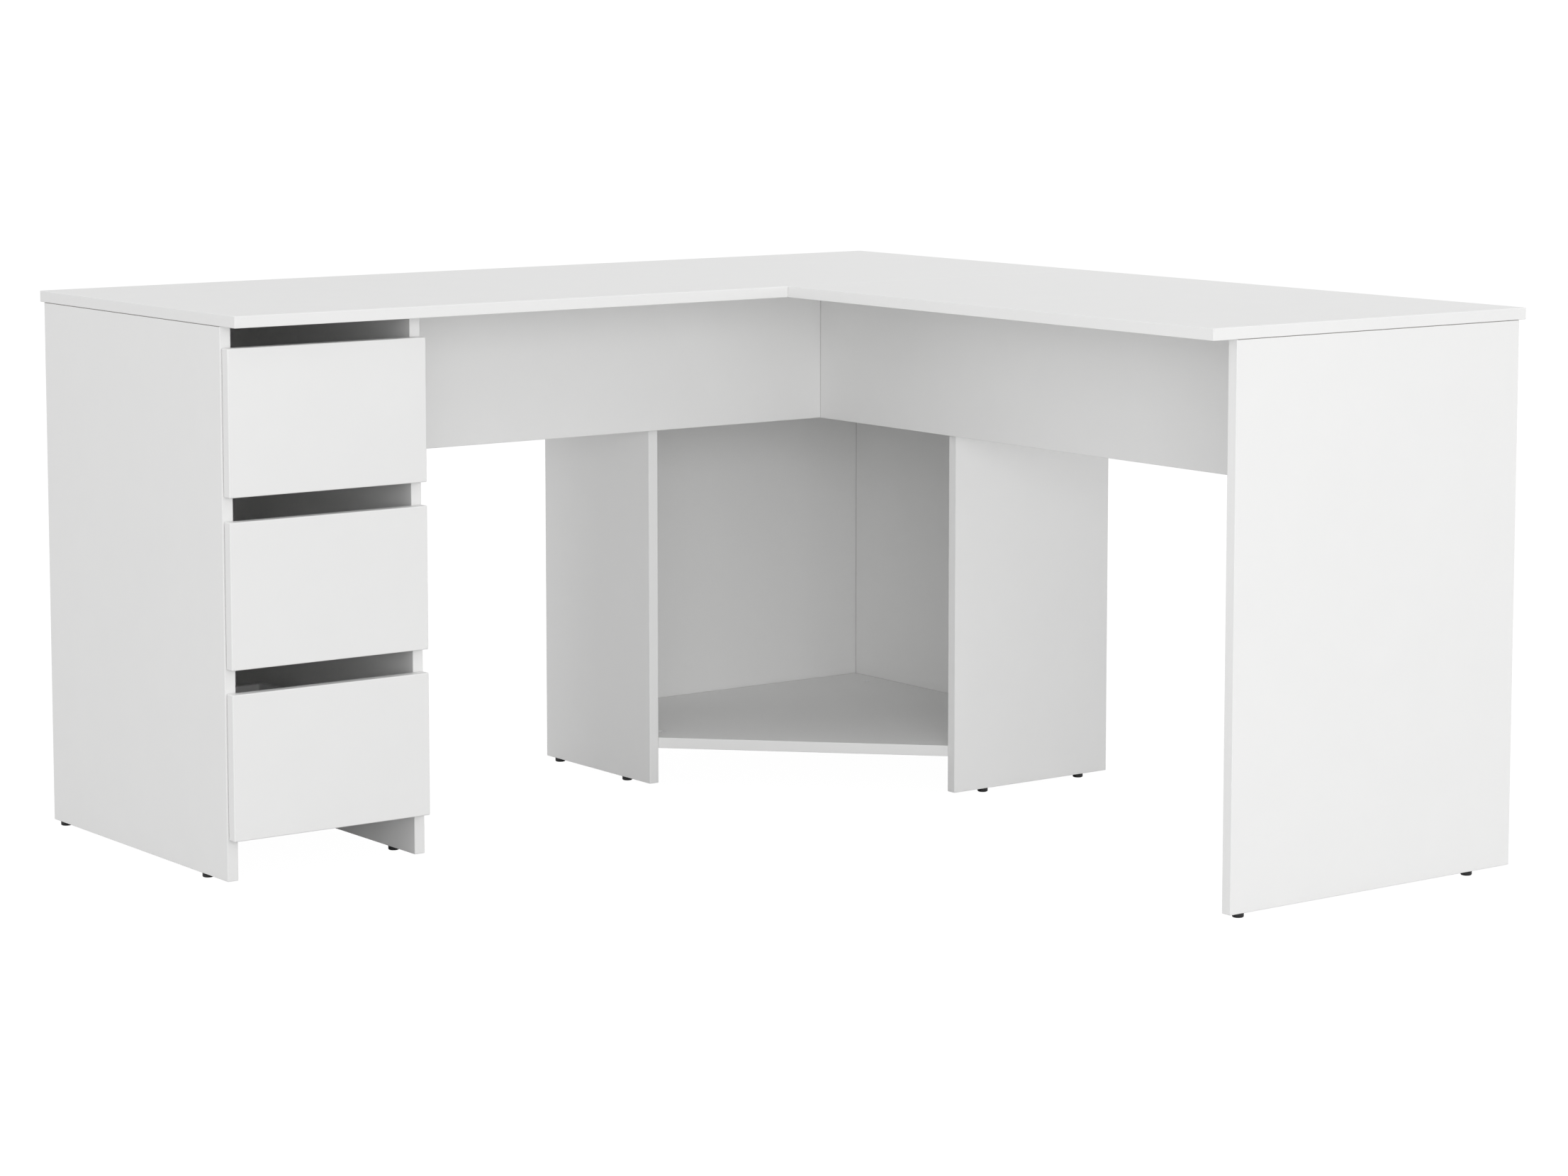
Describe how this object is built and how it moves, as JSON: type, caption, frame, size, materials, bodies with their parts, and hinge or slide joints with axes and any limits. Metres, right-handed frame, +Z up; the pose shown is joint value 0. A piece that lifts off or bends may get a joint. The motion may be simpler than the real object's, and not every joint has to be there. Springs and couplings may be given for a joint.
{
  "type": "corner desk",
  "caption": "Corner desk of white board: two wings meeting in an L, a drawer pedestal at the left, an end panel at the right and an open shelf unit in the corner.",
  "frame": {"origin": "on the floor, under the middle of the square that the two wings span", "axes": "+Z up; +Y from the drawer fronts towards the wall behind the left wing; +X from the pedestal along the left wing to the corner"},
  "size_m": [1.475, 1.475, 0.77],
  "materials": {
    "white_board": "satin white melamine-faced chipboard with matching edge band",
    "drawer_lining": "matt white foil-wrapped chipboard",
    "hardboard": "thin hardboard with a white lacquered face",
    "white_steel": "white powder-coated sheet steel",
    "zinc": "die-cast zinc",
    "black_plastic": "black moulded plastic"
  },
  "bodies": {
    "desk": {"top_left": "white_board", "top_right": "white_board", "apron_left": "white_board", "apron_right": "white_board", "pedestal_left_side": "white_board", "pedestal_right_side": "white_board", "pedestal_floor": "white_board", "corner_left_panel": "white_board", "corner_right_panel": "white_board", "corner_wall": "white_board", "corner_shelf": "white_board", "end_panel": "white_board", "pedestal_back": "hardboard", "corner_back": "hardboard", "glide_pedestal_left_front": "black_plastic", "glide_pedestal_left_rear": "black_plastic", "glide_pedestal_right_front": "black_plastic", "glide_pedestal_right_rear": "black_plastic", "glide_corner_left_front": "black_plastic", "glide_corner_left_rear": "black_plastic", "glide_corner_right_front": "black_plastic", "glide_corner_right_rear": "black_plastic", "glide_end_front": "black_plastic", "glide_end_rear": "black_plastic", "glide_corner_wall_rear": "black_plastic", "cam_wall_front": "zinc", "cam_wall_rear": "zinc", "cam_left_front": "zinc", "cam_left_rear": "zinc", "cam_right_front": "zinc", "cam_right_rear": "zinc", "cabinet_runner_bottom_left": "white_steel", "cabinet_runner_bottom_right": "white_steel", "cabinet_runner_middle_left": "white_steel", "cabinet_runner_middle_right": "white_steel", "cabinet_runner_top_left": "white_steel", "cabinet_runner_top_right": "white_steel"},
    "bottom_drawer": {"bottom_drawer_front": "white_board", "bottom_drawer_left_side": "drawer_lining", "bottom_drawer_right_side": "drawer_lining", "bottom_drawer_back": "drawer_lining", "bottom_drawer_bottom": "hardboard", "bottom_drawer_left_runner": "white_steel", "bottom_drawer_right_runner": "white_steel"},
    "middle_drawer": {"middle_drawer_front": "white_board", "middle_drawer_left_side": "drawer_lining", "middle_drawer_right_side": "drawer_lining", "middle_drawer_back": "drawer_lining", "middle_drawer_bottom": "hardboard", "middle_drawer_left_runner": "white_steel", "middle_drawer_right_runner": "white_steel"},
    "top_drawer": {"top_drawer_front": "white_board", "top_drawer_left_side": "drawer_lining", "top_drawer_right_side": "drawer_lining", "top_drawer_back": "drawer_lining", "top_drawer_bottom": "hardboard", "top_drawer_left_runner": "white_steel", "top_drawer_right_runner": "white_steel"}
  },
  "joints": [
    {"name": "bottom_drawer_slide", "type": "slide", "parent": "desk", "child": "bottom_drawer", "axis": [0, -1, 0], "range_m": [0, 0.3]},
    {"name": "middle_drawer_slide", "type": "slide", "parent": "desk", "child": "middle_drawer", "axis": [0, -1, 0], "range_m": [0, 0.3]},
    {"name": "top_drawer_slide", "type": "slide", "parent": "desk", "child": "top_drawer", "axis": [0, -1, 0], "range_m": [0, 0.3]}
  ]
}
